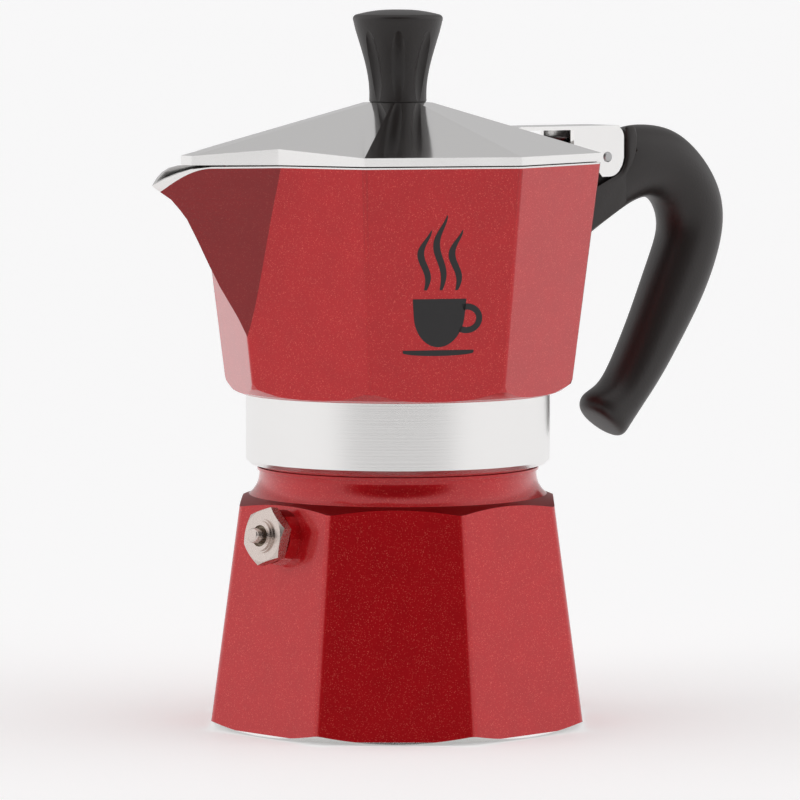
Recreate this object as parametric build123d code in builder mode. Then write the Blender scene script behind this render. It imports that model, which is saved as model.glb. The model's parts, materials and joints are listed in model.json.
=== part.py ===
"""Octagonal stove-top moka pot, three-cup size.

Frame: millimetres, +Z up, origin at the centre of the boiler's flat bottom, which lies on the
pot's upright axis. +X points to the handle, -X to the spout.
"""

from build123d import *
from math import atan, cos, degrees, radians, sin
import os

os.makedirs("parts", exist_ok=True)

# ---------------------------------------------------------------- driving dimensions
TOTAL_HEIGHT = 165.0
RUN = 0.1  # gap between pieces that part from each other

# boiler
BOILER_TURN = -14.3  # the boiler's corners are turned this much from the upper vessel's
BOILER_FLAT_BASE = 43.0  # half width across flats at the bottom
BOILER_SLOPE = 0.132  # how fast that half width shrinks with height
BOILER_WALL = 2.8
BOILER_EDGE_R = 3.0
NECK_R = 32.2
NECK_CORE_R = 31.3
NECK_RING_R = 32.7  # small step turned just under the band
MOUTH_R = 27.4
NECK_Z = 57.8
BOILER_TOP = 70.6
FLANGE_SEAT_R = 30.6
FLANGE_SEAT_DEPTH = 1.1

# band and upper vessel
BAND_R = 35.3
BAND_Z = (60.2, 76.6)
BAND_BORE_R = 32.45
VESSEL_Z = (79.0, 130.0)
VESSEL_CORNER = (40.85, 47.3)  # corner radius at those two heights
VESSEL_WALL = 2.2
VESSEL_EDGE_R = 1.6
COLUMN_TOP = 118.0
COLUMN_R = 5.2
COLUMN_BORE_R = 4.2
COLUMN_FOOT = 89.0
SOCKET_TOP = 94.0

# lid and hinge
LID_RIM_Z = 130.3
LID_EDGE_Z = 132.2
LID_CORNER_R = 47.4
LID_SLOPE = 0.29
LID_FLAT_Z = 143.6
LID_WALL = 1.6
LID_TIP = 58.8
LID_RIDGE_Z = 143.3
BEAK_Z = 133.9
PIN_X = 56.6
PIN_Z = 130.05
PIN_R = 1.2
LUG_HALF = 3.4
FORK_HALF = 5.0
CHEEK_IN = 5.2
CHEEK_OUT = 6.5
BRIDGE_TOP = 137.5
BRIDGE_Z = 136.6
SWEEP_R = 8.8  # the hinge block's corner turns inside this radius

# knob
KNOB_BASE_R = 6.65
KNOB_Z = 143.6

# handle
HANDLE_HALF = 8.0

# valve, square to its boiler facet; distances run out from the facet
VALVE_ANGLE = -171.8
VALVE_Z = 45.2
BOSS_R = 6.1
BOSS_TOP = 2.9
WASHER_T = 0.3
HEX_R = 6.85
HEX_FACE = 5.9
HEX_ROUND_R = 5.8  # the chamfer leaves a round face of this radius
COLLAR_TOP = 6.8
VALVE_BORE_R = 2.9
SHANK_END = -6.4
PIN_TIP = 9.2

# brewing pieces
BASKET_R = 26.7
BASKET_DEPTH = 19.0
SHEET = 0.9
STEM_R = 4.5
STEM_TIP_Z = 8.0
GASKET_R = (26.2, 32.1)
GASKET_T = 4.0
PLATE_R = 27.9

HALF_FLAT = cos(radians(22.5))  # flat over corner radius of an octagon


def save(piece, name):
    """Label one finished piece and write it under its own name."""
    piece.part.label = name
    export_step(piece.part, f"parts/{name}.step")


# ---------------------------------------------------------------- boiler
def boiler_flat(z, inset=0.0):
    """Corner radius of the boiler's octagon at a height."""
    return (BOILER_FLAT_BASE - BOILER_SLOPE * z - inset) / HALF_FLAT


VALVE_TILT = degrees(atan(BOILER_SLOPE))
valve_flat = BOILER_FLAT_BASE - BOILER_SLOPE * VALVE_Z
valve_out = Vector(
    cos(radians(VALVE_TILT)) * cos(radians(VALVE_ANGLE)),
    cos(radians(VALVE_TILT)) * sin(radians(VALVE_ANGLE)),
    sin(radians(VALVE_TILT)),
)
valve_foot = Vector(
    valve_flat * cos(radians(VALVE_ANGLE)),
    valve_flat * sin(radians(VALVE_ANGLE)),
    VALVE_Z,
)
valve_side = Vector(-sin(radians(VALVE_ANGLE)), cos(radians(VALVE_ANGLE)), 0)


def valve_plane(out):
    """Plane square to the valve's axis, this far out from the boiler's facet."""
    return Plane(origin=valve_foot + valve_out * out, x_dir=valve_side, z_dir=valve_out)


with BuildPart() as boiler:
    # eight leaning facets
    with BuildSketch(Plane.XY):
        RegularPolygon(boiler_flat(0), 8, rotation=BOILER_TURN)
    with BuildSketch(Plane.XY.offset(60)):
        RegularPolygon(boiler_flat(60), 8, rotation=BOILER_TURN)
    loft(ruled=True)
    fillet(boiler.edges().filter_by(lambda edge: abs(edge.tangent_at(0).Z) > 0.5), BOILER_EDGE_R)
    # turned shoulder and foot, which leave an arc at each facet's top and bottom
    with BuildSketch(Plane.XZ):
        with BuildLine():
            Polyline((0, 0), (42.8, 0), (48, 2.9), (48, 47.6), (34.6, 53.0))
            ThreePointArc((34.6, 53.0), (32.9, 55.05), (NECK_R, NECK_Z))
            Polyline((NECK_R, NECK_Z), (NECK_R, 60), (0, 60), (0, 0))
        make_face()
    revolve(axis=Axis.Z, mode=Mode.INTERSECT)
    # threaded neck
    with BuildSketch(Plane.XZ):
        with BuildLine():
            Polyline(
                (20, 55), (NECK_R, NECK_Z), (NECK_R, 58.6), (NECK_RING_R, 58.8),
                (NECK_RING_R, 59.4), (NECK_R, 59.6), (NECK_R, 61.2), (NECK_CORE_R, 62.1),
                (NECK_CORE_R, 70.0), (NECK_CORE_R - 0.6, BOILER_TOP), (20, BOILER_TOP), (20, 55),
            )
        make_face()
        for crest in (64.0, 67.0):
            with Locations((NECK_CORE_R, crest)):
                Polygon((-1, -1.5), (0, -1.2), (0.8, -0.3), (0.8, 0.3), (0, 1.2), (-1, 1.5), align=None)
    revolve(axis=Axis.Z)
    # water space
    with BuildSketch(Plane.XY.offset(3.4)):
        RegularPolygon(boiler_flat(3.4, BOILER_WALL), 8, rotation=BOILER_TURN)
    with BuildSketch(Plane.XY.offset(49.5)):
        RegularPolygon(boiler_flat(49.5, BOILER_WALL), 8, rotation=BOILER_TURN)
    loft(ruled=True, mode=Mode.SUBTRACT)
    with BuildSketch(Plane.XZ):
        with BuildLine():
            Polyline(
                (0, 49.4), (33.2, 49.4), (MOUTH_R, 56.5), (MOUTH_R, BOILER_TOP - FLANGE_SEAT_DEPTH),
                (FLANGE_SEAT_R, BOILER_TOP - FLANGE_SEAT_DEPTH), (FLANGE_SEAT_R, 72), (0, 72), (0, 49.4),
            )
        make_face()
    revolve(axis=Axis.Z, mode=Mode.SUBTRACT)
    # boss for the valve, the valve's hole, and a flat seat for the nut inside
    with BuildSketch(valve_plane(-1.0)):
        Circle(BOSS_R + 0.4)
    extrude(amount=BOSS_TOP + 1.0, taper=6)
    with BuildSketch(valve_plane(-BOILER_WALL - 3.0)):
        Circle(6.6)
    extrude(amount=3.2, mode=Mode.SUBTRACT)
    with BuildSketch(valve_plane(SHANK_END)):
        Circle(4.05)
    extrude(amount=12, mode=Mode.SUBTRACT)
save(boiler, "boiler")

# ---------------------------------------------------------------- safety valve
HEX_BACK = BOSS_TOP + WASHER_T
HEX_T = HEX_FACE - HEX_BACK
with BuildPart() as valve_body:
    with BuildSketch(valve_plane(HEX_BACK)):
        RegularPolygon(HEX_R, 6, rotation=19)
    extrude(amount=HEX_T)
    # thirty degree chamfer that rounds the hexagon's face
    with BuildSketch(valve_plane(HEX_FACE)):
        Circle(HEX_ROUND_R)
    with BuildSketch(valve_plane(HEX_BACK)):
        Circle(HEX_ROUND_R + HEX_T * 1.73)
    loft(mode=Mode.INTERSECT)
    with BuildSketch(valve_plane(HEX_FACE)):
        Circle(3.85)
    extrude(amount=0.45)
    with BuildSketch(valve_plane(HEX_FACE)):
        Circle(3.4)
    extrude(amount=COLLAR_TOP - HEX_FACE)
    with BuildSketch(valve_plane(SHANK_END)):
        Circle(4.0)
    extrude(amount=HEX_BACK - SHANK_END + 1)
    # spring chamber, its mouth, and the inner hole that the seal closes
    with BuildSketch(valve_plane(-4.9)):
        Circle(VALVE_BORE_R)
    extrude(amount=11.1, mode=Mode.SUBTRACT)
    with BuildSketch(valve_plane(5)):
        Circle(2.45)
    extrude(amount=3, mode=Mode.SUBTRACT)
    with BuildSketch(valve_plane(SHANK_END)):
        Circle(1.3)
    extrude(amount=2.0, mode=Mode.SUBTRACT)
save(valve_body, "valve_body")

with BuildPart() as valve_washer:
    with BuildSketch(valve_plane(BOSS_TOP)):
        Circle(5.7)
        Circle(4.1, mode=Mode.SUBTRACT)
    extrude(amount=WASHER_T)
save(valve_washer, "valve_washer")

with BuildPart() as valve_nut:
    with BuildSketch(valve_plane(-BOILER_WALL - 2.2)):
        RegularPolygon(6.2, 6)
        Circle(4.0, mode=Mode.SUBTRACT)
    extrude(amount=2.4)
save(valve_nut, "valve_nut")

with BuildPart() as valve_seal:
    with BuildSketch(valve_plane(-4.88)):
        Circle(2.5)
    extrude(amount=0.9)
save(valve_seal, "valve_seal")

with BuildPart() as valve_pin:
    with BuildSketch(valve_plane(-3.98)):
        Circle(2.7)
    extrude(amount=0.8)
    with BuildSketch(valve_plane(-3.3)):
        Circle(1.1)
    extrude(amount=9.0)
    with BuildSketch(valve_plane(4.2)):
        Circle(1.7)
    extrude(amount=PIN_TIP - 4.2)
    fillet(valve_pin.edges().filter_by(GeomType.CIRCLE).sort_by(Axis(valve_foot, valve_out))[-1], 0.5)
save(valve_pin, "valve_pin")

with BuildPart() as valve_ring:
    with BuildSketch(valve_plane(5.2)):
        Circle(VALVE_BORE_R)
        Circle(1.78, mode=Mode.SUBTRACT)
    extrude(amount=1.0)
save(valve_ring, "valve_ring")

with BuildLine() as spring_path:
    Helix(
        pitch=1.35, height=7.6, radius=2.2,
        center=valve_foot + valve_out * -2.8, direction=valve_out,
    )
with BuildPart() as valve_spring:
    with BuildSketch(Plane(origin=spring_path.line @ 0, z_dir=spring_path.line % 0)):
        Circle(0.32)
    sweep(path=spring_path.line, is_frenet=True)
save(valve_spring, "valve_spring")

# ---------------------------------------------------------------- coffee funnel
basket_top = BOILER_TOP - FLANGE_SEAT_DEPTH
basket_floor = basket_top - BASKET_DEPTH
cone_end = basket_floor - 8.0
with BuildPart() as funnel:
    with BuildSketch(Plane.XZ):
        with BuildLine():
            Polyline(
                (STEM_R, STEM_TIP_Z), (STEM_R, cone_end), (BASKET_R - 1.2, basket_floor - 0.8),
                (BASKET_R, basket_floor), (BASKET_R, basket_top + 0.05),
                (FLANGE_SEAT_R - 0.3, basket_top + 0.05), (FLANGE_SEAT_R - 0.3, basket_top + 1.0),
                (BASKET_R - SHEET, basket_top + 1.0), (BASKET_R - SHEET, basket_floor),
                (BASKET_R - 2.6, basket_floor), (BASKET_R - 2.6, basket_floor - 0.8),
                (STEM_R - SHEET, cone_end + 0.5), (STEM_R - SHEET, STEM_TIP_Z), (STEM_R, STEM_TIP_Z),
            )
        make_face()
    revolve(axis=Axis.Z)
save(funnel, "funnel")


def sieve(radius, spacing, rings, hole):
    """Perforated disc: a centre hole and rings of six more holes each time."""
    Circle(radius)
    Circle(hole, mode=Mode.SUBTRACT)
    for ring in range(1, rings + 1):
        with PolarLocations(ring * spacing, 6 * ring):
            Circle(hole, mode=Mode.SUBTRACT)


with BuildPart() as funnel_sieve:
    with BuildSketch(Plane.XY.offset(basket_floor)):
        sieve(BASKET_R - SHEET - 0.1, 5.2, 4, 0.7)
    extrude(amount=0.8)
save(funnel_sieve, "funnel_sieve")

# ---------------------------------------------------------------- gasket and filter plate
gasket_z = BOILER_TOP + RUN
with BuildPart() as gasket:
    with BuildSketch(Plane.XY.offset(gasket_z)):
        Circle(GASKET_R[1])
        Circle(GASKET_R[0], mode=Mode.SUBTRACT)
    extrude(amount=GASKET_T)
    fillet(gasket.edges(), 0.4)
save(gasket, "gasket")

plate_z = gasket_z + GASKET_T
with BuildPart() as filter_plate:
    with BuildSketch(Plane.XY.offset(plate_z)):
        sieve(PLATE_R, 4.6, 5, 0.7)
    extrude(amount=0.8)
save(filter_plate, "filter_plate")


# ---------------------------------------------------------------- collector
def vessel_corner(z):
    """Corner radius of the upper vessel's octagon at a height."""
    low, high = VESSEL_Z
    share = (z - low) / (high - low)
    return VESSEL_CORNER[0] + share * (VESSEL_CORNER[1] - VESSEL_CORNER[0])


SPOUT_KEEL = [
    (88.0, 40.6), (95.4, 44.8), (102.5, 49.7), (107.6, 52.7), (113.4, 55.9),
    (118.0, 58.6), (120.2, 60.5), (122.6, 62.9), (125.2, 67.2), (130.5, 73.5),
]  # height and reach of the spout's keel
SPOUT_SPREAD = 0.333  # how far along the facet each flank runs, per millimetre of height
SPOUT_FOOT = 88.0


def spout_outline(z, reach, inset):
    """Plan of the spout at one height: tip, two flank ends on the facets, and a point inside."""
    corner = vessel_corner(z)
    along = SPOUT_SPREAD * (z - SPOUT_FOOT)
    side_x = -corner + along * cos(radians(67.5)) + 1.2 + inset * 0.4
    side_y = along * sin(radians(67.5)) + 0.6 - inset * 0.8
    return [(-reach + inset * 1.6, 0), (side_x, -side_y), (-corner * 0.55, 0), (side_x, side_y)]


LUG_ARM = [(44.6, 129.6), (43.0, 112.0), (50.0, 115.4), (61.0, 123.0), (59.6, 127.0), (56.6, 130.0)]
LUG_EYE_R = 4.3

gasket_roof = plate_z + RUN
with BuildPart() as collector:
    # turned band and the taper under the facets
    with BuildSketch(Plane.XY.offset(72)):
        RegularPolygon(vessel_corner(72), 8)
    with BuildSketch(Plane.XY.offset(VESSEL_Z[1])):
        RegularPolygon(vessel_corner(VESSEL_Z[1]), 8)
    loft(ruled=True)
    fillet(collector.edges().filter_by(lambda edge: abs(edge.tangent_at(0).Z) > 0.5), VESSEL_EDGE_R)
    with BuildSketch(Plane.XZ):
        with BuildLine():
            Polyline((0, 74), (BAND_R, 74), (BAND_R, BAND_Z[1]), (36.9, 76.75), (38.2, 77.2),
                     (40.3, 78.8), (41.5, 81.6), (50, 97), (50, 131), (0, 131), (0, 74))
        make_face()
    revolve(axis=Axis.Z, mode=Mode.INTERSECT)
    # spout beak
    for height, reach in SPOUT_KEEL:
        with BuildSketch(Plane.XY.offset(height)):
            Polygon(*spout_outline(height, reach, 0), align=None)
    loft(ruled=True)
    # hollow of the spout and of the vessel
    for height, reach in SPOUT_KEEL[1:]:
        with BuildSketch(Plane.XY.offset(height)):
            Polygon(*spout_outline(height, reach, 1.3), align=None)
    loft(ruled=True, mode=Mode.SUBTRACT)
    with BuildSketch(Plane.XY.offset(80.5)):
        RegularPolygon(vessel_corner(80.5) - VESSEL_WALL / HALF_FLAT, 8)
    with BuildSketch(Plane.XY.offset(VESSEL_Z[1] + 2)):
        RegularPolygon(vessel_corner(VESSEL_Z[1] + 2) - VESSEL_WALL / HALF_FLAT, 8)
    loft(ruled=True, mode=Mode.SUBTRACT)
    # band wall, thread roots, floor cone and the column's socket in one turned profile
    with BuildSketch(Plane.XZ):
        with BuildLine():
            Polyline(
                (BAND_BORE_R + 0.7, BAND_Z[0]), (BAND_R - 1.0, BAND_Z[0]), (BAND_R, BAND_Z[0] + 1.0),
                (BAND_R, BAND_Z[1]), (36.5, BAND_Z[1]), (36.5, 80.6), (26.0, 80.6), (9.0, 90.0),
                (6.8, SOCKET_TOP), (COLUMN_R, SOCKET_TOP), (COLUMN_R, COLUMN_FOOT),
                (COLUMN_BORE_R, COLUMN_FOOT), (COLUMN_BORE_R, 88.0), (24.0, 77.4),
                (PLATE_R + 0.4, plate_z + 1.2),
                (PLATE_R + 0.4, gasket_roof), (BAND_BORE_R, gasket_roof), (BAND_BORE_R, 70.4),
                (BAND_BORE_R + 0.7, 69.6), (BAND_BORE_R + 0.7, 68.9), (BAND_BORE_R, 68.1),
                (BAND_BORE_R, 67.4), (BAND_BORE_R + 0.7, 66.6), (BAND_BORE_R + 0.7, 65.9),
                (BAND_BORE_R, 65.1), (BAND_BORE_R, 64.4), (BAND_BORE_R + 0.7, 63.6),
                (BAND_BORE_R + 0.7, BAND_Z[0]),
            )
        make_face()
    revolve(axis=Axis.Z)
    with BuildSketch(Plane.XZ):
        with BuildLine():
            Polyline(
                (0, 73), (BAND_BORE_R, 73), (BAND_BORE_R, gasket_roof), (PLATE_R + 0.4, gasket_roof),
                (PLATE_R + 0.4, plate_z + 1.2), (24.0, 77.4), (COLUMN_BORE_R, 88.0),
                (COLUMN_BORE_R, COLUMN_FOOT), (COLUMN_R, COLUMN_FOOT), (COLUMN_R, SOCKET_TOP),
                (0, SOCKET_TOP), (0, 73),
            )
        make_face()
    revolve(axis=Axis.Z, mode=Mode.SUBTRACT)
    # rear lug for the hinge pin and the handle
    with BuildSketch(Plane.XZ.offset(-LUG_HALF)):
        Polygon(*LUG_ARM, align=None)
        with Locations((PIN_X, PIN_Z)):
            Circle(LUG_EYE_R)
    extrude(amount=2 * LUG_HALF)
    with BuildSketch(Plane.XZ.offset(-10)):
        with Locations((PIN_X, PIN_Z)):
            Circle(PIN_R + 0.02)
    extrude(amount=20, mode=Mode.SUBTRACT)
    # pouring lip: the rim falls away to the spout's tip
    with BuildSketch(Plane.XZ.offset(-30)):
        Polygon((-56.5, 130.0), (-60.0, 129.6), (-63.0, 128.7), (-65.5, 127.5), (-67.2, 126.4),
                (-68.0, 125.9), (-80, 125.9), (-80, 135), (-20, 135), (-20, 130.0), align=None)
    extrude(amount=60, mode=Mode.SUBTRACT)
save(collector, "collector")

# ---------------------------------------------------------------- pouring column
with BuildPart() as column:
    # tube pressed into the collector's floor, closed by a small cap
    with BuildSketch(Plane.XZ):
        with BuildLine():
            Polyline(
                (COLUMN_BORE_R, COLUMN_FOOT), (COLUMN_R, COLUMN_FOOT), (COLUMN_R, COLUMN_TOP - 2),
                (4.0, COLUMN_TOP), (0, COLUMN_TOP), (0, COLUMN_TOP - 1.6),
                (COLUMN_BORE_R, COLUMN_TOP - 1.6), (COLUMN_BORE_R, COLUMN_FOOT),
            )
        make_face()
    revolve(axis=Axis.Z)
    # two outlets just under the cap
    with BuildSketch(Plane.XZ.offset(-10)):
        with Locations((0, COLUMN_TOP - 6.5)):
            SlotOverall(8.0, 4.4, rotation=90)
    extrude(amount=20, mode=Mode.SUBTRACT)
save(column, "column")


# ---------------------------------------------------------------- lid with its hinge block
def lid_corner(z):
    """Corner radius of the lid's slope at a height."""
    return LID_CORNER_R - (z - LID_EDGE_Z) / LID_SLOPE


def beak_flank(inset):
    """Where the beak leaves the octagon's edge: distances forward and sideways."""
    side = 13.5
    return (
        LID_CORNER_R - side * cos(radians(67.5)) - inset * 0.4,
        side * sin(radians(67.5)) - inset * 0.9,
    )


def beak_corners(sink, inset):
    """Corners of the convex beak: a straight ridge from the lid's top to the tip."""
    flank_x, flank_y = beak_flank(inset)
    tip = LID_TIP - inset * 1.7
    half = 2.2 - inset * 0.6
    corners = [(-9, 0, LID_RIDGE_Z - sink), (-20, 0, LID_RIM_Z - sink)]
    for y in (-1, 1):
        corners.append((-tip, y * half, LID_EDGE_Z + 0.2 - sink))
        corners.append((-tip, y * half, LID_RIM_Z - sink))
        corners.append((-flank_x, y * flank_y, BEAK_Z - sink))
        corners.append((-flank_x, y * flank_y, LID_RIM_Z - sink))
    return corners


def shoulder_corners(sink, inset, y):
    """Corners of the facet beside the beak, which rises a little towards it."""
    flank_x, flank_y = beak_flank(inset)
    corner = (LID_CORNER_R - inset) * cos(radians(45))
    return [
        (-9, 0, LID_RIDGE_Z - sink), (-20, 0, LID_RIM_Z - sink),
        (-flank_x, y * flank_y, BEAK_Z - sink), (-flank_x, y * flank_y, LID_RIM_Z - sink),
        (-corner, y * corner, LID_EDGE_Z - sink), (-corner, y * corner, LID_RIM_Z - sink),
    ]


with BuildPart() as lid:
    # octagonal slope, skirt and beak: once as the outside, once sunk and inset as the hollow
    for sink, inset, way in ((0, 0, Mode.ADD), (LID_WALL, 1.3, Mode.SUBTRACT)):
        with BuildSketch(Plane.XY.offset(LID_RIM_Z - sink)):
            RegularPolygon(LID_CORNER_R - inset, 8)
        extrude(amount=LID_EDGE_Z - LID_RIM_Z, mode=way)
        with BuildSketch(Plane.XY.offset(LID_EDGE_Z - sink)):
            RegularPolygon(LID_CORNER_R - inset, 8)
        with BuildSketch(Plane.XY.offset(LID_FLAT_Z - sink)):
            RegularPolygon(lid_corner(LID_FLAT_Z), 8)
        loft(ruled=True, mode=way)
        ConvexPolyhedron(beak_corners(sink, inset), mode=way)
        ConvexPolyhedron(shoulder_corners(sink, inset, -1), mode=way)
        ConvexPolyhedron(shoulder_corners(sink, inset, 1), mode=way)
    # boss for the knob's screw
    with BuildSketch(Plane.XY.offset(LID_FLAT_Z - 2.4)):
        Circle(7.0)
    extrude(amount=2.0)
    with BuildSketch(Plane.XY.offset(LID_FLAT_Z - 4)):
        Circle(2.1)
    extrude(amount=6, mode=Mode.SUBTRACT)
    # bridge from the slope back over the hinge
    with BuildSketch(Plane.XZ.offset(-CHEEK_OUT)):
        Polygon((29.0, BRIDGE_Z), (29.0, BRIDGE_TOP - 0.4), (31.0, BRIDGE_TOP), (60.2, BRIDGE_TOP),
                (60.2, BRIDGE_Z), align=None)
    extrude(amount=2 * CHEEK_OUT)
    # two cheeks that straddle the lug and the handle's fork
    for side in (-CHEEK_OUT, CHEEK_IN):
        with BuildSketch(Plane.XZ.offset(-side - (CHEEK_OUT - CHEEK_IN))):
            with BuildLine():
                Polyline((58.6, BRIDGE_TOP), (46.5, BRIDGE_TOP), (46.5, 131.4), (52.9, 131.4),
                         (53.6, 127.0), (55.0, 125.4), (57.2, 125.4))
                ThreePointArc((57.2, 125.4), (60.5, 127.0), (61.5, 130.2))
                Line((61.5, 130.2), (61.5, 134.6))
                ThreePointArc((61.5, 134.6), (60.65, 136.65), (58.6, BRIDGE_TOP))
            make_face()
        extrude(amount=CHEEK_OUT - CHEEK_IN)
    with BuildSketch(Plane.XZ.offset(-10)):
        with Locations((PIN_X, PIN_Z)):
            Circle(PIN_R + 0.03)
    extrude(amount=20, mode=Mode.SUBTRACT)
save(lid, "lid")

with BuildPart() as hinge_pin:
    with BuildSketch(Plane.XZ.offset(-CHEEK_OUT - 0.4)):
        with Locations((PIN_X, PIN_Z)):
            Circle(PIN_R)
    extrude(amount=2 * CHEEK_OUT + 0.8)
    chamfer(hinge_pin.edges().filter_by(GeomType.CIRCLE), 0.25)
save(hinge_pin, "hinge_pin")

# ---------------------------------------------------------------- knob and its fixing
with BuildPart() as knob:
    with BuildSketch(Plane.XZ):
        with BuildLine():
            Line((0, KNOB_Z), (KNOB_BASE_R - 0.3, KNOB_Z))
            Line((KNOB_BASE_R - 0.3, KNOB_Z), (KNOB_BASE_R, KNOB_Z + 0.4))
            Spline((KNOB_BASE_R, KNOB_Z + 0.4), (7.2, 150.2), (8.9, 157.0), (10.3, 162.4))
            ThreePointArc((10.3, 162.4), (10.3, 163.3), (9.5, 163.9))
            ThreePointArc((9.5, 163.9), (5.5, 164.72), (1.0, TOTAL_HEIGHT))
            Line((1.0, TOTAL_HEIGHT), (0, TOTAL_HEIGHT))
            Line((0, TOTAL_HEIGHT), (0, KNOB_Z))
        make_face()
    revolve(axis=Axis.Z)
    # eight long flutes round the waist
    for turn in range(8):
        facing = 45 * turn + 10
        lean = radians(14)
        away = Vector(cos(radians(facing)) * cos(lean), sin(radians(facing)) * cos(lean), -sin(lean))
        along = Vector(-sin(radians(facing)), cos(radians(facing)), 0)
        waist = Vector(7.9 * cos(radians(facing)), 7.9 * sin(radians(facing)), 153.3)
        with Locations(Plane(origin=waist + away * 23.5, x_dir=away, z_dir=along)):
            Torus(22.0, 2.4, mode=Mode.SUBTRACT)
    with BuildSketch(Plane.XY.offset(KNOB_Z)):
        Circle(3.5)
    extrude(amount=11.0, mode=Mode.SUBTRACT)
save(knob, "knob")

with BuildPart() as knob_insert:
    with BuildSketch(Plane.XY.offset(KNOB_Z + 0.3)):
        RegularPolygon(3.45, 6)
        Circle(1.75, mode=Mode.SUBTRACT)
    extrude(amount=9.5)
save(knob_insert, "knob_insert")

washer_z = LID_FLAT_Z - 2.4
with BuildPart() as knob_washer:
    with BuildSketch(Plane.XY.offset(washer_z - 0.8)):
        Circle(5.0)
        Circle(1.9, mode=Mode.SUBTRACT)
    extrude(amount=0.8)
save(knob_washer, "knob_washer")

with BuildPart() as knob_screw:
    with BuildSketch(Plane.XY.offset(washer_z - 3.0)):
        Circle(3.2)
    extrude(amount=2.2)
    fillet(knob_screw.edges().group_by(Axis.Z)[0], 0.8)
    with BuildSketch(Plane.XY.offset(washer_z - 3.0)):
        Rectangle(7, 0.8)
    extrude(amount=1.2, mode=Mode.SUBTRACT)
    with BuildSketch(Plane.XY.offset(washer_z - 0.8)):
        Circle(1.7)
    extrude(amount=11.5)
save(knob_screw, "knob_screw")

# ---------------------------------------------------------------- handle
GRIP_SECTIONS = [
    ((62.0, 137.5), (60.5, 114.7), 7.8), ((72.0, 137.5), (69.0, 119.6), 8.0),
    ((80.5, 136.0), (73.5, 120.1), 8.0), ((88.3, 129.6), (76.9, 118.2), 8.0),
    ((94.2, 121.8), (78.5, 115.2), 8.0), ((95.4, 114.0), (78.7, 112.0), 8.0),
    ((92.8, 104.8), (77.4, 108.4), 8.0), ((88.6, 95.4), (74.2, 101.5), 7.8),
    ((83.1, 86.1), (70.6, 92.9), 7.4), ((76.6, 76.7), (66.0, 83.6), 7.0),
    ((71.5, 70.8), (62.0, 77.0), 6.8), ((67.6, 66.2), (57.0, 74.2), 6.6),
    ((65.0, 63.2), (55.6, 70.8), 6.2),
]  # outer point, inner point and half width, from the hinge down to the toe
with BuildPart() as handle:
    for outer, inner, half in GRIP_SECTIONS:
        across = Vector(outer[0] - inner[0], 0, outer[1] - inner[1])
        middle = Vector((outer[0] + inner[0]) / 2, 0, (outer[1] + inner[1]) / 2)
        with BuildSketch(Plane(origin=middle, x_dir=across, z_dir=across.cross(Vector(0, 1, 0)))):
            RectangleRounded(across.length, 2 * half, min(across.length / 2, half) * 0.72)
    loft(ruled=True)
    # head that reaches forward to the vessel
    with BuildSketch(Plane.XZ.offset(-HANDLE_HALF + 0.2)):
        with BuildLine():
            Polyline((42.0, 104.0), (42.0, 119.0), (53.6, 123.4), (57.4, 125.0))
            ThreePointArc((57.4, 125.0), (60.9, 126.8), (61.9, 130.2))
            Polyline((61.9, 130.2), (61.9, 134.7), (61.3, 137.3), (63.4, 137.3))
            Polyline((63.4, 137.3), (63.4, 117.2), (57.7, 113.2), (42.0, 104.2), (42.0, 104.0))
        make_face()
    extrude(amount=2 * HANDLE_HALF - 0.4)
    # pocket that the hinge block turns in
    with BuildSketch(Plane.XZ.offset(-CHEEK_OUT - 0.35)):
        with Locations((PIN_X, PIN_Z)):
            Circle(SWEEP_R)
        Polygon((50, PIN_Z), (65.0, PIN_Z), (65.0, 140), (50, 140), align=None)
    extrude(amount=2 * CHEEK_OUT + 0.7, mode=Mode.SUBTRACT)
    # fork round the pin
    with BuildSketch(Plane.XZ.offset(-FORK_HALF)):
        with Locations((PIN_X, PIN_Z)):
            Circle(4.6)
        Polygon((52.2, 129.0), (52.4, 119.0), (61.0, 119.0), (60.6, 127.8), (56.6, 130.0), align=None)
    extrude(amount=2 * FORK_HALF)
    # slot for the lug
    with BuildSketch(Plane.XZ.offset(-LUG_HALF)):
        Polygon(*LUG_ARM, align=None)
        with Locations((PIN_X, PIN_Z)):
            Circle(5.0)
        Polygon((40, 127), (56, 127), (56, 136), (40, 136), align=None)
    extrude(amount=2 * LUG_HALF, mode=Mode.SUBTRACT)
    with BuildSketch(Plane.XZ.offset(-10)):
        with Locations((PIN_X, PIN_Z)):
            Circle(PIN_R)
    extrude(amount=20, mode=Mode.SUBTRACT)
    # notch that fits the vessel's corner
    with BuildSketch(Plane.XY.offset(100)):
        RegularPolygon(vessel_corner(100) + RUN, 8)
    with BuildSketch(Plane.XY.offset(131)):
        RegularPolygon(vessel_corner(131) + RUN, 8)
    loft(ruled=True, mode=Mode.SUBTRACT)
save(handle, "handle")
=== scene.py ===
import json
from math import atan2, cos, hypot, pi, radians, sin

import bpy
from mathutils import Matrix, Vector

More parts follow.
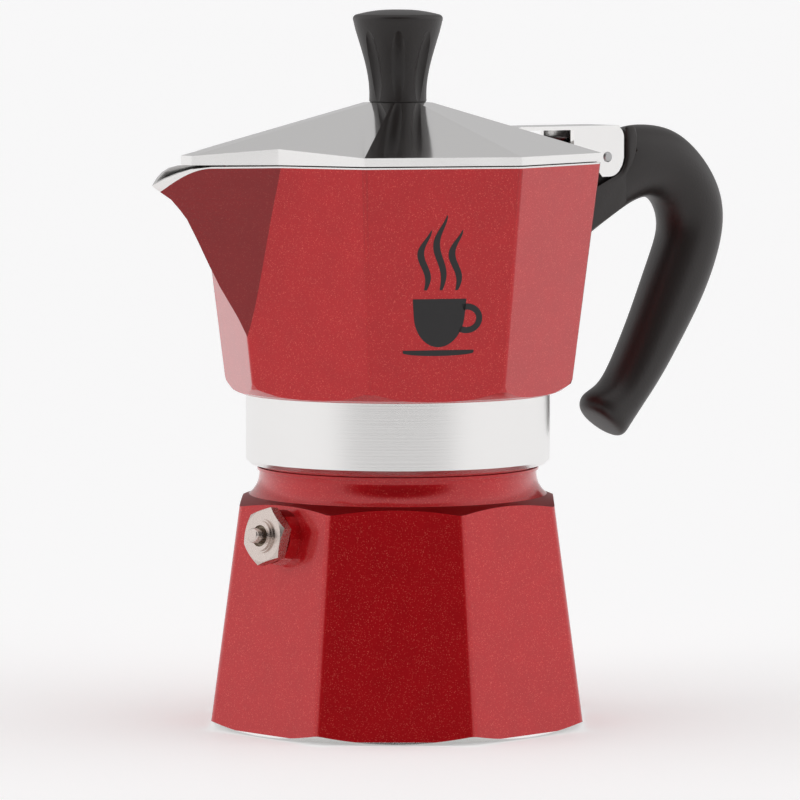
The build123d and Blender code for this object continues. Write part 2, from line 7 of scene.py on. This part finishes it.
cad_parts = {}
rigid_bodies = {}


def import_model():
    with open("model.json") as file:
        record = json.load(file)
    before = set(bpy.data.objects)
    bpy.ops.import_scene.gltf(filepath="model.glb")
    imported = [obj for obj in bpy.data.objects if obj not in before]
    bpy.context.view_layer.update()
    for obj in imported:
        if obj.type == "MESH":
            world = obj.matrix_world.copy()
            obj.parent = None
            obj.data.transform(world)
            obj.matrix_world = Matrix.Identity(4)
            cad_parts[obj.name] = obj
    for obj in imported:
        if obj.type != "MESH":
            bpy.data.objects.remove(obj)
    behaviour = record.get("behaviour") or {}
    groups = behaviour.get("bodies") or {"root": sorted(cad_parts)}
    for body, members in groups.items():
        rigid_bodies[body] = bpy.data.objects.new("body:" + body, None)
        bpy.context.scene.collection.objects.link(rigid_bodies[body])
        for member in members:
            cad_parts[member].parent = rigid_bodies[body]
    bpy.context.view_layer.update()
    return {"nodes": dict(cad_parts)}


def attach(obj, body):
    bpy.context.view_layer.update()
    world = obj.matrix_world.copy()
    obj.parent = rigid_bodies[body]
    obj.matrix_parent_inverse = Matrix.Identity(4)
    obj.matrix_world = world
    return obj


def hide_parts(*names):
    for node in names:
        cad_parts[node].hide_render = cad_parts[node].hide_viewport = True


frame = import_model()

# ------------------------------------------------------------------ boiler
# Cast aluminium boiler: eight leaning facets, enamelled red outside. The foot ring, the threaded
# neck and the water space are left as bare machined metal.


def material(name, colour, metallic, roughness):
    """A new material with its shader set; returns it with its nodes, links and shader."""
    made = bpy.data.materials.new(name)
    made.use_nodes = True
    nodes = made.node_tree.nodes
    links = made.node_tree.links
    shader = nodes["Principled BSDF"]
    shader.inputs["Base Color"].default_value = (*colour, 1.0)
    shader.inputs["Metallic"].default_value = metallic
    shader.inputs["Roughness"].default_value = roughness
    return made, nodes, links, shader


def place_axes(nodes, links):
    """Object coordinates split into x, y and z."""
    place = nodes.new("ShaderNodeTexCoord")
    axes = nodes.new("ShaderNodeSeparateXYZ")
    links.new(place.outputs["Object"], axes.inputs["Vector"])
    return place.outputs["Object"], axes.outputs


def calculate(nodes, links, operation, *values):
    """One Math node; each input is a socket or a number."""
    node = nodes.new("ShaderNodeMath")
    node.operation = operation
    for value, socket in zip(values, node.inputs):
        if isinstance(value, (int, float)):
            socket.default_value = value
        else:
            links.new(value, socket)
    return node.outputs["Value"]


def ramp(nodes, links, value, stops):
    """Colour ramp through (position, colour) stops."""
    node = nodes.new("ShaderNodeValToRGB")
    links.new(value, node.inputs["Fac"])
    points = node.color_ramp.elements
    while len(points) < len(stops):
        points.new(0.5)
    for point, (position, colour) in zip(points, stops):
        point.position = position
        point.color = (*colour, 1.0)
    return node.outputs["Color"]


def blend_colours(nodes, links, share, first, second):
    """Mix of two colours by a share between 0 and 1."""
    node = nodes.new("ShaderNodeMix")
    node.data_type = "RGBA"
    links.new(share, node.inputs["Factor"])
    for colour, socket in ((first, node.inputs[6]), (second, node.inputs[7])):
        if isinstance(colour, tuple):
            socket.default_value = (*colour, 1.0)
        else:
            links.new(colour, socket)
    return node.outputs[2]


def cells(nodes, links, place, size):
    """Random colour per cell of this size in metres."""
    node = nodes.new("ShaderNodeTexVoronoi")
    node.inputs["Scale"].default_value = 1 / size
    links.new(place, node.inputs["Vector"])
    return node.outputs["Color"]


def noise(nodes, links, place, size, detail=2.0, stretch=(1, 1, 1)):
    """Smooth noise of this grain size in metres, stretched along chosen axes."""
    spread = nodes.new("ShaderNodeMapping")
    spread.inputs["Scale"].default_value = stretch
    links.new(place, spread.inputs["Vector"])
    node = nodes.new("ShaderNodeTexNoise")
    node.inputs["Scale"].default_value = 1 / size
    node.inputs["Detail"].default_value = detail
    links.new(spread.outputs["Vector"], node.inputs["Vector"])
    return node.outputs["Fac"]


def bump(nodes, links, shader, height, depth):
    """Bump of this depth in metres on the shader's normal."""
    node = nodes.new("ShaderNodeBump")
    node.inputs["Distance"].default_value = depth
    links.new(height, node.inputs["Height"])
    links.new(node.outputs["Normal"], shader.inputs["Normal"])


def inward(nodes, links, place):
    """How far a face looks back at the pot's axis, and how far it looks up."""
    looks = nodes.new("ShaderNodeTexCoord").outputs["Normal"]
    level = nodes.new("ShaderNodeVectorMath")
    level.operation = "MULTIPLY"
    level.inputs[1].default_value = (1, 1, 0)
    links.new(looks, level.inputs[0])
    out = nodes.new("ShaderNodeVectorMath")
    out.operation = "DOT_PRODUCT"
    links.new(level.outputs["Vector"], out.inputs[0])
    links.new(place, out.inputs[1])
    up = nodes.new("ShaderNodeSeparateXYZ")
    links.new(looks, up.inputs["Vector"])
    return out.outputs["Value"], up.outputs["Z"]


ENAMEL_RED = (0.52, 0.005, 0.009)
# painted shade: dark red laid on the enamel under the spout and on the shoulder
SHADE_RED = (0.09, 0.0008, 0.001)
BARE_METAL = (0.84, 0.83, 0.82)
ENAMEL_METALLIC = 0.5
ENAMEL_ROUGHNESS = 0.40
BARE_ROUGHNESS = 0.27
ENAMEL_GLOSS = 0.9
FLAKE_SIZE = 0.00016
SHOULDER_TOP = 0.056
SPOUT_FROM = 0.084


def enamel(name, bare_share):
    """Red metallic enamel over bare machined metal; bare_share gives where the metal is bare."""
    made, nodes, links, shader = material(name, ENAMEL_RED, ENAMEL_METALLIC, ENAMEL_ROUGHNESS)
    shader.inputs["Specular IOR Level"].default_value = 0.05
    shader.inputs["Coat Roughness"].default_value = 0.13
    place, axes = place_axes(nodes, links)
    bare = bare_share(nodes, links, place, axes)
    # sparse bright flakes in the red, and a slow drift of its tone
    flakes = nodes.new("ShaderNodeSeparateColor")
    links.new(cells(nodes, links, place, FLAKE_SIZE), flakes.inputs["Color"])
    paint = ramp(nodes, links, flakes.outputs["Red"], [
        (0.0, (0.475, 0.0040, 0.0080)), (0.90, (0.53, 0.0060, 0.0110)), (0.985, (0.70, 0.075, 0.060)),
    ])
    drift = ramp(nodes, links, noise(nodes, links, place, 0.006), [
        (0.3, (0.93, 0.93, 0.93)), (0.7, (1.0, 1.0, 1.0)),
    ])
    tinted = nodes.new("ShaderNodeMix")
    tinted.data_type = "RGBA"
    tinted.blend_type = "MULTIPLY"
    tinted.inputs["Factor"].default_value = 1.0
    links.new(paint, tinted.inputs[6])
    links.new(drift, tinted.inputs[7])
    # painted shade: the red is darkened under the spout and on the shoulder, and the shoulder gets
    # less coat, so it looks dull
    upwards = inward(nodes, links, place)[1]
    lean = nodes.new("ShaderNodeMapRange")
    lean.inputs["From Min"].default_value = -0.16
    lean.inputs["From Max"].default_value = -0.26
    lean.inputs["To Min"].default_value = 0.0
    lean.inputs["To Max"].default_value = 0.62
    links.new(upwards, lean.inputs["Value"])
    high = calculate(nodes, links, "GREATER_THAN", axes["Z"], SPOUT_FROM)
    under_spout_shade = calculate(nodes, links, "MULTIPLY", lean.outputs["Result"], high)
    level = calculate(nodes, links, "GREATER_THAN", upwards, 0.8)
    low = calculate(nodes, links, "LESS_THAN", axes["Z"], SHOULDER_TOP)
    shoulder = calculate(nodes, links, "MULTIPLY", level, low)
    shoulder_shade = calculate(nodes, links, "MULTIPLY", shoulder, 0.7)
    painted_shade = calculate(nodes, links, "MAXIMUM", under_spout_shade, shoulder_shade)
    # painted shade: the red is blended towards the dark shade red under the spout and on the shoulder
    shaded_paint = blend_colours(nodes, links, painted_shade, tinted.outputs[2], SHADE_RED)
    links.new(blend_colours(nodes, links, bare, shaded_paint, BARE_METAL), shader.inputs["Base Color"])
    glossy = calculate(nodes, links, "MULTIPLY_ADD", shoulder, -ENAMEL_GLOSS, ENAMEL_GLOSS)
    links.new(calculate(nodes, links, "SUBTRACT", glossy, bare), shader.inputs["Coat Weight"])
    for socket, painted, metal in (("Metallic", ENAMEL_METALLIC, 1.0),
                                   ("Roughness", ENAMEL_ROUGHNESS, BARE_ROUGHNESS)):
        value = calculate(nodes, links, "MULTIPLY_ADD", bare, metal - painted, painted)
        links.new(value, shader.inputs[socket])
    # turned lines on the bare metal, a slight grain in the enamel
    rings = noise(nodes, links, place, 0.0011, 3.0, (0.004, 0.004, 3.0))
    grain = noise(nodes, links, place, 0.0005)
    height = nodes.new("ShaderNodeMix")
    links.new(bare, height.inputs["Factor"])
    links.new(grain, height.inputs[2])
    links.new(rings, height.inputs[3])
    bump(nodes, links, shader, height.outputs[0], 0.00001)
    return made


FOOT_HEIGHT = 0.0006
NECK_BARE_FROM = 0.0606
WATER_FLOOR_TOP = 0.01


def boiler_bare(nodes, links, place, axes):
    """Bare on the foot ring, on the threaded neck, and all over the water space."""
    outwards, upwards = inward(nodes, links, place)
    foot = calculate(nodes, links, "LESS_THAN", axes["Z"], FOOT_HEIGHT)
    neck = calculate(nodes, links, "GREATER_THAN", axes["Z"], NECK_BARE_FROM)
    walls = calculate(nodes, links, "LESS_THAN", outwards, -0.01)
    ceiling = calculate(nodes, links, "LESS_THAN", upwards, -0.7)
    low = calculate(nodes, links, "LESS_THAN", axes["Z"], WATER_FLOOR_TOP)
    facing_up = calculate(nodes, links, "GREATER_THAN", upwards, 0.7)
    bottom = calculate(nodes, links, "MULTIPLY", low, facing_up)
    total = calculate(nodes, links, "MAXIMUM", foot, neck)
    for share in (walls, ceiling, bottom):
        total = calculate(nodes, links, "MAXIMUM", total, share)
    return total


def give(node_name, finish):
    """Puts a finish on every material slot of a frame node."""
    for holder in frame["nodes"][node_name].material_slots:
        holder.material = finish


give("boiler", enamel("boiler_enamel", boiler_bare))

# ------------------------------------------------------------------ safety valve
# Nickelled hexagonal body screwed through a boiler facet, with its plunger, spring, seal and
# retaining ring, a dark fibre washer outside and a brass nut inside.


def plain_metal(name, colour, roughness, grain=0.0004):
    """Bare metal with a faint uneven sheen."""
    made, nodes, links, shader = material(name, colour, 1.0, roughness)
    place = place_axes(nodes, links)[0]
    grainy = noise(nodes, links, place, grain, 3.0)
    uneven = nodes.new("ShaderNodeMapRange")
    uneven.inputs["To Min"].default_value = roughness * 0.75
    uneven.inputs["To Max"].default_value = roughness * 1.3
    links.new(grainy, uneven.inputs["Value"])
    links.new(uneven.outputs["Result"], shader.inputs["Roughness"])
    return made


def moulded(name, colour, roughness, grain=0.0006):
    """Moulded plastic or rubber with a fine skin texture."""
    made, nodes, links, shader = material(name, colour, 0.0, roughness)
    place = place_axes(nodes, links)[0]
    grainy = noise(nodes, links, place, grain, 3.0)
    bump(nodes, links, shader, grainy, 0.00004)
    return made


nickel = plain_metal("warm_nickel", (0.60, 0.52, 0.48), 0.27)
give("valve_body", nickel)
give("valve_pin", nickel)
give("valve_ring", plain_metal("dull_brass", (0.20, 0.16, 0.12), 0.4))
give("valve_nut", plain_metal("brass", (0.72, 0.53, 0.22), 0.3))
give("valve_spring", plain_metal("spring_wire", (0.62, 0.62, 0.63), 0.25))
give("valve_washer", moulded("dark_fibre", (0.05, 0.012, 0.012), 0.7))
give("valve_seal", moulded("red_silicone", (0.42, 0.03, 0.02), 0.5))

# ------------------------------------------------------------------ coffee funnel
# Spun aluminium basket on a long stem, with a perforated disc pressed into its floor.
spun = plain_metal("spun_aluminium", (0.78, 0.77, 0.77), 0.3)
give("funnel", spun)
give("funnel_sieve", spun)

# ------------------------------------------------------------------ gasket and filter plate
# White rubber ring under the collector, holding a thin perforated plate.
give("gasket", moulded("white_rubber", (0.80, 0.78, 0.72), 0.55))
give("filter_plate", spun)

# ------------------------------------------------------------------ collector
# Cast upper vessel: enamelled facets and spout, a bare turned band below, and a bare inside. It
# screws down over the boiler's neck.
BAND_TOP = 0.0766
RIM_EDGE = 0.12965
LIP_START = 0.0565
LIP_FALL = 60.0
LUG_START = 0.0475


def collector_bare(nodes, links, place, axes):
    """Bare on the band, the rim, the pouring lip and all over the inside."""
    outwards = inward(nodes, links, place)[0]
    band = calculate(nodes, links, "LESS_THAN", axes["Z"], BAND_TOP)
    inside = calculate(nodes, links, "LESS_THAN", outwards, 0.0008)
    ahead = calculate(nodes, links, "LESS_THAN", axes["X"], LUG_START)
    # the rim's edge is rubbed bare, more so along the lip, which falls away from LIP_START
    reach = calculate(nodes, links, "MULTIPLY", axes["X"], -1.0)
    along = calculate(nodes, links, "SUBTRACT", reach, LIP_START)
    along = calculate(nodes, links, "MAXIMUM", along, 0.0)
    fall = calculate(nodes, links, "MULTIPLY", calculate(nodes, links, "POWER", along, 2.0), LIP_FALL)
    edge = calculate(nodes, links, "SUBTRACT", RIM_EDGE, fall)
    rubbed = calculate(nodes, links, "GREATER_THAN", axes["Z"], edge)
    rubbed = calculate(nodes, links, "MAXIMUM", inside, rubbed)
    rubbed = calculate(nodes, links, "MULTIPLY", rubbed, ahead)
    return calculate(nodes, links, "MAXIMUM", band, rubbed)


give("collector", enamel("collector_enamel", collector_bare))

# ------------------------------------------------------------------ pouring column
# Plain aluminium tube pressed into the collector's floor, through which the coffee rises.
give("column", spun)

# ------------------------------------------------------------------ printed emblem
# A steaming cup printed in black on the front facet of the collector, a few hundredths of a
# millimetre thick.
VESSEL_FOOT = 0.079
VESSEL_FOOT_CORNER = 0.04085
VESSEL_FLARE = 0.12647
HALF_FLAT = cos(radians(22.5))


def vessel_corner(height):
    """Corner radius of the upper vessel's octagon at a height."""
    return VESSEL_FOOT_CORNER + (height - VESSEL_FOOT) * VESSEL_FLARE


EMBLEM_TURN = radians(-112.5)
EMBLEM_FOOT = 0.0875
INK = 0.00003
FACET_LEAN = VESSEL_FLARE * HALF_FLAT
facet_norm = hypot(1, FACET_LEAN)
facet_out = Vector((cos(EMBLEM_TURN), sin(EMBLEM_TURN), -FACET_LEAN)) / facet_norm
facet_up = Vector((cos(EMBLEM_TURN) * FACET_LEAN, sin(EMBLEM_TURN) * FACET_LEAN, 1)) / facet_norm
facet_right = facet_up.cross(facet_out)
facet_reach = vessel_corner(EMBLEM_FOOT) * HALF_FLAT
emblem_place = Matrix((facet_right, facet_up, facet_out)).transposed().to_4x4()
emblem_place.translation = Vector((cos(EMBLEM_TURN) * facet_reach, sin(EMBLEM_TURN) * facet_reach,
                                   EMBLEM_FOOT)) + facet_out * INK
ink = moulded("black_ink", (0.012, 0.011, 0.012), 0.5)
scene_items = bpy.context.scene.collection.objects


def arc(middle, radii, start, end, count):
    """Points along an ellipse's arc, angles in degrees."""
    return [(middle[0] + radii[0] * cos(radians(start + (end - start) * step / (count - 1))),
             middle[1] + radii[1] * sin(radians(start + (end - start) * step / (count - 1))))
            for step in range(count)]


def printed(name, *outlines):
    """One printed shape from closed outlines in the facet's plane, in metres."""
    drawing = bpy.data.curves.new(name, "CURVE")
    drawing.dimensions = "2D"
    drawing.fill_mode = "BOTH"
    drawing.extrude = INK
    for outline in outlines:
        spline = drawing.splines.new("POLY")
        spline.points.add(len(outline) - 1)
        for point, (across, up) in zip(spline.points, outline):
            point.co = (across, up, 0, 1)
        spline.use_cyclic_u = True
    shape = bpy.data.objects.new(name, drawing)
    scene_items.link(shape)
    shape.matrix_world = emblem_place
    bpy.ops.object.select_all(action="DESELECT")
    shape.select_set(True)
    bpy.context.view_layer.objects.active = shape
    bpy.ops.object.convert(target="MESH")
    bpy.ops.object.transform_apply(location=True, rotation=True, scale=True)
    shape.data.materials.append(ink)
    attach(shape, "vessel")


printed("emblem_saucer", arc((0, 0.0008), (0.0082, 0.0008), 180, 360, 24)
        + [(0.0082, 0.0013), (-0.0082, 0.0013)])
printed("emblem_cup", [(-0.0062, 0.0130), (-0.0060, 0.0104)]
        + arc((0, 0.0098), (0.0059, 0.0078), 186, 354, 30) + [(0.0060, 0.0104), (0.0062, 0.0130)])
CUP_HANDLE = (0.0064, 0.0085)
printed("emblem_cup_handle", arc(CUP_HANDLE, (0.0036, 0.0034), -120, 110, 24)
        + arc(CUP_HANDLE, (0.0022, 0.0020), 110, -120, 24))
# three wisps of steam, each a swaying line that swells in its middle
STEAM_FOOT = 0.0150
STEAM_HEIGHT = 0.017
STEAM_STEPS = 32
for index, (start, height) in enumerate(((-0.0036, 0.8), (0.0, 1.0), (0.0036, 0.8))):
    left_edge = []
    right_edge = []
    for step in range(STEAM_STEPS + 1):
        share = step / STEAM_STEPS
        sway = 0.0011 * sin(2 * pi * share * 1.15 + 0.4) * (0.6 + 0.6 * share)
        half = 0.00008 + 0.00075 * sin(pi * min(1.0, 0.08 + share * 0.92)) ** 0.8
        up = STEAM_FOOT + STEAM_HEIGHT * height * share
        left_edge.append((start + sway - half, up))
        right_edge.append((start + sway + half, up))
    printed(f"emblem_steam_{index + 1}", left_edge + right_edge[::-1])

# ------------------------------------------------------------------ lid and hinge pin
# Pressed and polished aluminium lid with its hinge block, turning on a steel pin.
polished = plain_metal("polished_aluminium", (0.84, 0.83, 0.82), 0.10, 0.01)
give("lid", polished)
give("hinge_pin", plain_metal("pin_steel", (0.42, 0.42, 0.42), 0.35))

# ------------------------------------------------------------------ knob
# Black moulded knob with eight flutes, a brass insert, and a screw and washer under the lid.
black = moulded("satin_black", (0.013, 0.009, 0.008), 0.42)
give("knob", black)
give("knob_insert", plain_metal("insert_brass", (0.72, 0.53, 0.22), 0.3))
give("knob_screw", plain_metal("screw_steel", (0.62, 0.62, 0.63), 0.3))
give("knob_washer", spun)

# ------------------------------------------------------------------ handle
# Black moulded handle with an oval grip, an open pocket behind the lid's cheeks, and a fork that
# the hinge pin holds on the collector's rear lug.
GRIP = [
    ((0.0400, 0.1170), (0.0400, 0.1028), 0.0060), ((0.0480, 0.1205), (0.0480, 0.1072), 0.0064),
    ((0.0550, 0.1250), (0.0550, 0.1118), 0.0068), ((0.0612, 0.1352), (0.0612, 0.1152), 0.0075),
    ((0.0672, 0.1376), (0.0662, 0.1182), 0.0080), ((0.0745, 0.1376), (0.0702, 0.1197), 0.0081),
    ((0.0815, 0.1362), (0.0735, 0.1201), 0.0081), ((0.0888, 0.1304), (0.0766, 0.1187), 0.0081),
    ((0.0944, 0.1224), (0.0785, 0.1154), 0.0081), ((0.0957, 0.1140), (0.0788, 0.1118), 0.0081),
    ((0.0933, 0.1046), (0.0775, 0.1084), 0.0080), ((0.0890, 0.0952), (0.0743, 0.1015), 0.0078),
    ((0.0831, 0.0861), (0.0706, 0.0929), 0.0073), ((0.0766, 0.0767), (0.0660, 0.0836), 0.0070),
    ((0.0715, 0.0708), (0.0623, 0.0773), 0.0067), ((0.0688, 0.0674), (0.0592, 0.0751), 0.0066),
    ((0.0670, 0.0650), (0.0560, 0.0738), 0.0065), ((0.0660, 0.0636), (0.0550, 0.0722), 0.0063),
    ((0.0649, 0.0628), (0.0550, 0.0706), 0.0055), ((0.0634, 0.0634), (0.0563, 0.0690), 0.0038),
]  # outer point, inner point and half width, from inside the vessel's corner down to the toe
PIN = (0.0566, 0.13005)
PIN_R = 0.0012
FORK_R = 0.0046
FORK_HALF = 0.0050
LUG_ROOM_R = 0.0050
LUG_ROOM_HALF = 0.0034
ARM_HALF = 0.0074
ARM_ROUND = 0.0008
POCKET_R = 0.0088
POCKET_HALF = 0.00685
CUT_HALF = 0.012
VESSEL_ROOM = 0.0001
VESSEL_ROOM_SPAN = (0.100, 0.131)


def ring_place(outer, inner):
    """Middle of a section, its height across, and the turn of that height from level."""
    middle = Vector(((outer[0] + inner[0]) / 2, 0, (outer[1] + inner[1]) / 2))
    height = hypot(outer[0] - inner[0], outer[1] - inner[1])
    return middle, height, atan2(outer[1] - inner[1], outer[0] - inner[0])


def turn_y(angle, middle):
    """Turns what is selected from +X towards +Z about a point."""
    bpy.ops.transform.rotate(value=angle, orient_axis="Y", center_override=middle)


def prism(name, outline, half):
    """Closed block from an outline in the XZ plane, reaching this far each way along Y."""
    mesh = bpy.data.meshes.new(name)
    mesh.from_pydata([(x, -half, z) for x, z in outline], [], [range(len(outline))])
    block = bpy.data.objects.new(name, mesh)
    scene_items.link(block)
    bpy.ops.object.select_all(action="DESELECT")
    bpy.context.view_layer.objects.active = block
    block.select_set(True)
    bpy.ops.object.mode_set(mode="EDIT")
    bpy.ops.mesh.select_all(action="SELECT")
    bpy.ops.mesh.extrude_region_move(TRANSFORM_OT_translate={"value": (0, 2 * half, 0)})
    bpy.ops.mesh.select_all(action="SELECT")
    bpy.ops.mesh.normals_make_consistent(inside=False)
    bpy.ops.object.mode_set(mode="OBJECT")
    return block


def join_or_cut(target, tool, operation):
    """Applies one boolean with a helper block, then removes the block."""
    change = target.modifiers.new(operation, "BOOLEAN")
    change.operation = operation
    change.object = tool
    change.solver = "EXACT"
    bpy.context.view_layer.objects.active = target
    bpy.ops.object.modifier_apply(modifier=change.name)
    bpy.data.objects.remove(tool)


bpy.ops.object.select_all(action="DESELECT")
middle, height, angle = ring_place(*GRIP[0][:2])
half = GRIP[0][2]
bpy.ops.mesh.primitive_circle_add(vertices=20, radius=0.5, location=middle)
grip = bpy.context.object
grip.name = "handle_grip"
bpy.ops.object.transform_apply(location=True, rotation=True, scale=True)
bpy.ops.object.mode_set(mode="EDIT")
bpy.ops.mesh.select_all(action="SELECT")
bpy.ops.transform.resize(value=(height, 2 * half, 1), center_override=middle)
turn_y(angle, middle)
for outer, inner, next_half in GRIP[1:]:
    last_middle, last_height, last_angle = middle, height, angle
    middle, height, angle = ring_place(outer, inner)
    bpy.ops.mesh.extrude_region_move(TRANSFORM_OT_translate={"value": middle - last_middle})
    turn_y(-last_angle, middle)
    bpy.ops.transform.resize(value=(height / last_height, next_half / half, 1), center_override=middle)
    turn_y(angle, middle)
    half = next_half
# close the toe, then the end that the arm hides
bpy.ops.mesh.edge_face_add()
bpy.ops.mesh.select_all(action="DESELECT")
bpy.ops.mesh.select_non_manifold()
bpy.ops.mesh.edge_face_add()
bpy.ops.mesh.select_all(action="SELECT")
bpy.ops.mesh.normals_make_consistent(inside=False)
bpy.ops.object.mode_set(mode="OBJECT")
rounded = grip.modifiers.new("rounded", "SUBSURF")
rounded.levels = 3
rounded.render_levels = 3
bpy.ops.object.modifier_apply(modifier=rounded.name)

# flat-sided arm that reaches forward under the cheeks, its edges rounded, out of which the
# fuller grip swells
cheek_edge = [(0.0420, 0.1190), (0.0536, 0.1234), (0.0574, 0.1250), (0.0590, 0.1257),
              (0.0604, 0.1266), (0.0613, 0.1281), (0.0619, 0.1302), (0.0619, 0.1347),
              (0.06175, 0.1359), (0.0613, 0.1373)]
arm = prism("arm", cheek_edge + [
    (0.0645, 0.13735), (0.0652, 0.1350), (0.0650, 0.1315), (0.0638, 0.1284), (0.0620, 0.1255),
    (0.0620, 0.1186), (0.0577, 0.1162), (0.0500, 0.1119), (0.0420, 0.1076)], ARM_HALF)
soft = arm.modifiers.new("soft", "BEVEL")
soft.width = ARM_ROUND
soft.segments = 3
soft.angle_limit = radians(60)
bpy.ops.object.modifier_apply(modifier=soft.name)
cheek_room = cheek_edge + [(0.0613, 0.1420), (0.0360, 0.1420), (0.0360, 0.1166)]
join_or_cut(grip, prism("cheek_room", cheek_room, CUT_HALF), "DIFFERENCE")
join_or_cut(grip, arm, "UNION")
# the deeper pocket that the hinge block turns in
pocket = arc(PIN, (POCKET_R, POCKET_R), 0, -180, 40) + [
    (PIN[0] - POCKET_R, 0.140), (PIN[0] + POCKET_R - 0.0004, 0.140)]
join_or_cut(grip, prism("pocket", pocket, POCKET_HALF), "DIFFERENCE")
# fork round the pin, the slot for the lug, the pin's hole and the vessel's corner
fork = arc(PIN, (FORK_R, FORK_R), -30, 210, 36) + [
    (0.0524, 0.1270), (0.0524, 0.1190), (0.0610, 0.1190), (0.0606, 0.1276)]
join_or_cut(grip, prism("fork", fork, FORK_HALF), "UNION")
lug_room = arc(PIN, (LUG_ROOM_R, LUG_ROOM_R), 0, 90, 14) + [
    (0.0400, 0.1360), (0.0400, 0.1080), (0.0500, 0.1154), (0.0610, 0.1230), (0.0612, 0.1262)]
join_or_cut(grip, prism("lug_room", lug_room, LUG_ROOM_HALF), "DIFFERENCE")
pin_hole = arc(PIN, (PIN_R, PIN_R), 0, 345, 24)
join_or_cut(grip, prism("pin_hole", pin_hole, CUT_HALF), "DIFFERENCE")
bpy.ops.object.select_all(action="DESELECT")
room_low, room_high = VESSEL_ROOM_SPAN
bpy.ops.mesh.primitive_cone_add(
    vertices=8, depth=room_high - room_low, location=(0, 0, (room_low + room_high) / 2),
    radius1=vessel_corner(room_low) + VESSEL_ROOM, radius2=vessel_corner(room_high) + VESSEL_ROOM)
vessel_room = bpy.context.object
bpy.ops.object.transform_apply(location=True, rotation=True, scale=True)
join_or_cut(grip, vessel_room, "DIFFERENCE")
bpy.ops.object.select_all(action="DESELECT")
grip.select_set(True)
bpy.context.view_layer.objects.active = grip
bpy.ops.object.shade_smooth_by_angle(angle=radians(40))
grip.data.materials.clear()
grip.data.materials.append(black)
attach(grip, "vessel")
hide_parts("handle")

# ------------------------------------------------------------------ floor, light and camera
# Wide pale floor in an even white room. The room is dark behind the camera, which gives the metal
# and the enamel their contrast.
CAMERA_AZIMUTH = radians(-36)
CAMERA_PITCH = radians(4.507)
CAMERA_DISTANCE = 1.2351
CAMERA_SIDE = 0.0005
CAMERA_HEIGHT = 0.17195
ROOM_LIGHT = 1.12
FLOOR_SIZE = 300
BACK = Vector((sin(CAMERA_AZIMUTH), -cos(CAMERA_AZIMUTH), 0))
RIGHT = Vector((cos(CAMERA_AZIMUTH), sin(CAMERA_AZIMUTH), 0))

bpy.ops.object.select_all(action="DESELECT")
bpy.ops.mesh.primitive_plane_add(size=FLOOR_SIZE, location=(0, 0, -0.0002))
floor = bpy.context.object
floor.name = "floor"
floor_finish, _, _, floor_shader = material("pale_floor", (0.90, 0.90, 0.90), 0.0, 0.7)
floor_shader.inputs["Specular IOR Level"].default_value = 0.1
floor_shader.inputs["Emission Color"].default_value = (1.0, 1.0, 1.0, 1.0)
floor_shader.inputs["Emission Strength"].default_value = 0.22
floor.data.materials.append(floor_finish)

scene = bpy.context.scene
world = bpy.data.worlds.new("studio")
world.use_nodes = True
scene.world = world
sky_nodes = world.node_tree.nodes
sky_links = world.node_tree.links
sky = sky_nodes["Background"]
heading = sky_nodes.new("ShaderNodeTexCoord")


def dim_zone(towards, edge, core, level):
    """Light level that falls from 1 to a lower one near a direction; edge and core are cosines."""
    facing = sky_nodes.new("ShaderNodeVectorMath")
    facing.operation = "DOT_PRODUCT"
    facing.inputs[1].default_value = towards.normalized()
    sky_links.new(heading.outputs["Generated"], facing.inputs[0])
    shade = sky_nodes.new("ShaderNodeMapRange")
    shade.interpolation_type = "SMOOTHSTEP"
    shade.inputs["From Min"].default_value = edge
    shade.inputs["From Max"].default_value = core
    shade.inputs["To Min"].default_value = 1.0
    shade.inputs["To Max"].default_value = level
    sky_links.new(facing.outputs["Value"], shade.inputs["Value"])
    return shade.outputs["Result"]


# the room is dark behind the camera, and grey high up on the far side
behind_camera = dim_zone(BACK + Vector((0, 0, 0.22)), 0.62, 0.86, 0.04)
far_side = dim_zone(Vector((0, 0, 0.75)) - BACK, 0.62, 0.80, 0.50)
both_zones = calculate(sky_nodes, sky_links, "MULTIPLY", behind_camera, far_side)
brightness = calculate(sky_nodes, sky_links, "MULTIPLY", both_zones, ROOM_LIGHT)
sky_links.new(brightness, sky.inputs["Strength"])
sky.inputs["Color"].default_value = (1.0, 0.995, 1.0, 1.0)
# what the camera sees straight on is a plain near-white
ray = sky_nodes.new("ShaderNodeLightPath")
plain = sky_nodes.new("ShaderNodeBackground")
plain.inputs["Color"].default_value = (0.97, 0.97, 0.975, 1.0)
either = sky_nodes.new("ShaderNodeMixShader")
sky_links.new(ray.outputs["Is Camera Ray"], either.inputs["Fac"])
sky_links.new(sky.outputs["Background"], either.inputs[1])
sky_links.new(plain.outputs["Background"], either.inputs[2])
sky_links.new(either.outputs["Shader"], sky_nodes["World Output"].inputs["Surface"])

camera_data = bpy.data.cameras.new("camera")
camera = bpy.data.objects.new("camera", camera_data)
scene.collection.objects.link(camera)
camera.location = BACK * CAMERA_DISTANCE + RIGHT * CAMERA_SIDE + Vector((0, 0, CAMERA_HEIGHT))
camera.rotation_euler = (pi / 2 - CAMERA_PITCH, 0, CAMERA_AZIMUTH)
camera_data.sensor_width = 36
camera_data.lens = 240.2
camera_data.clip_end = 50
scene.camera = camera
scene.view_settings.view_transform = "Standard"
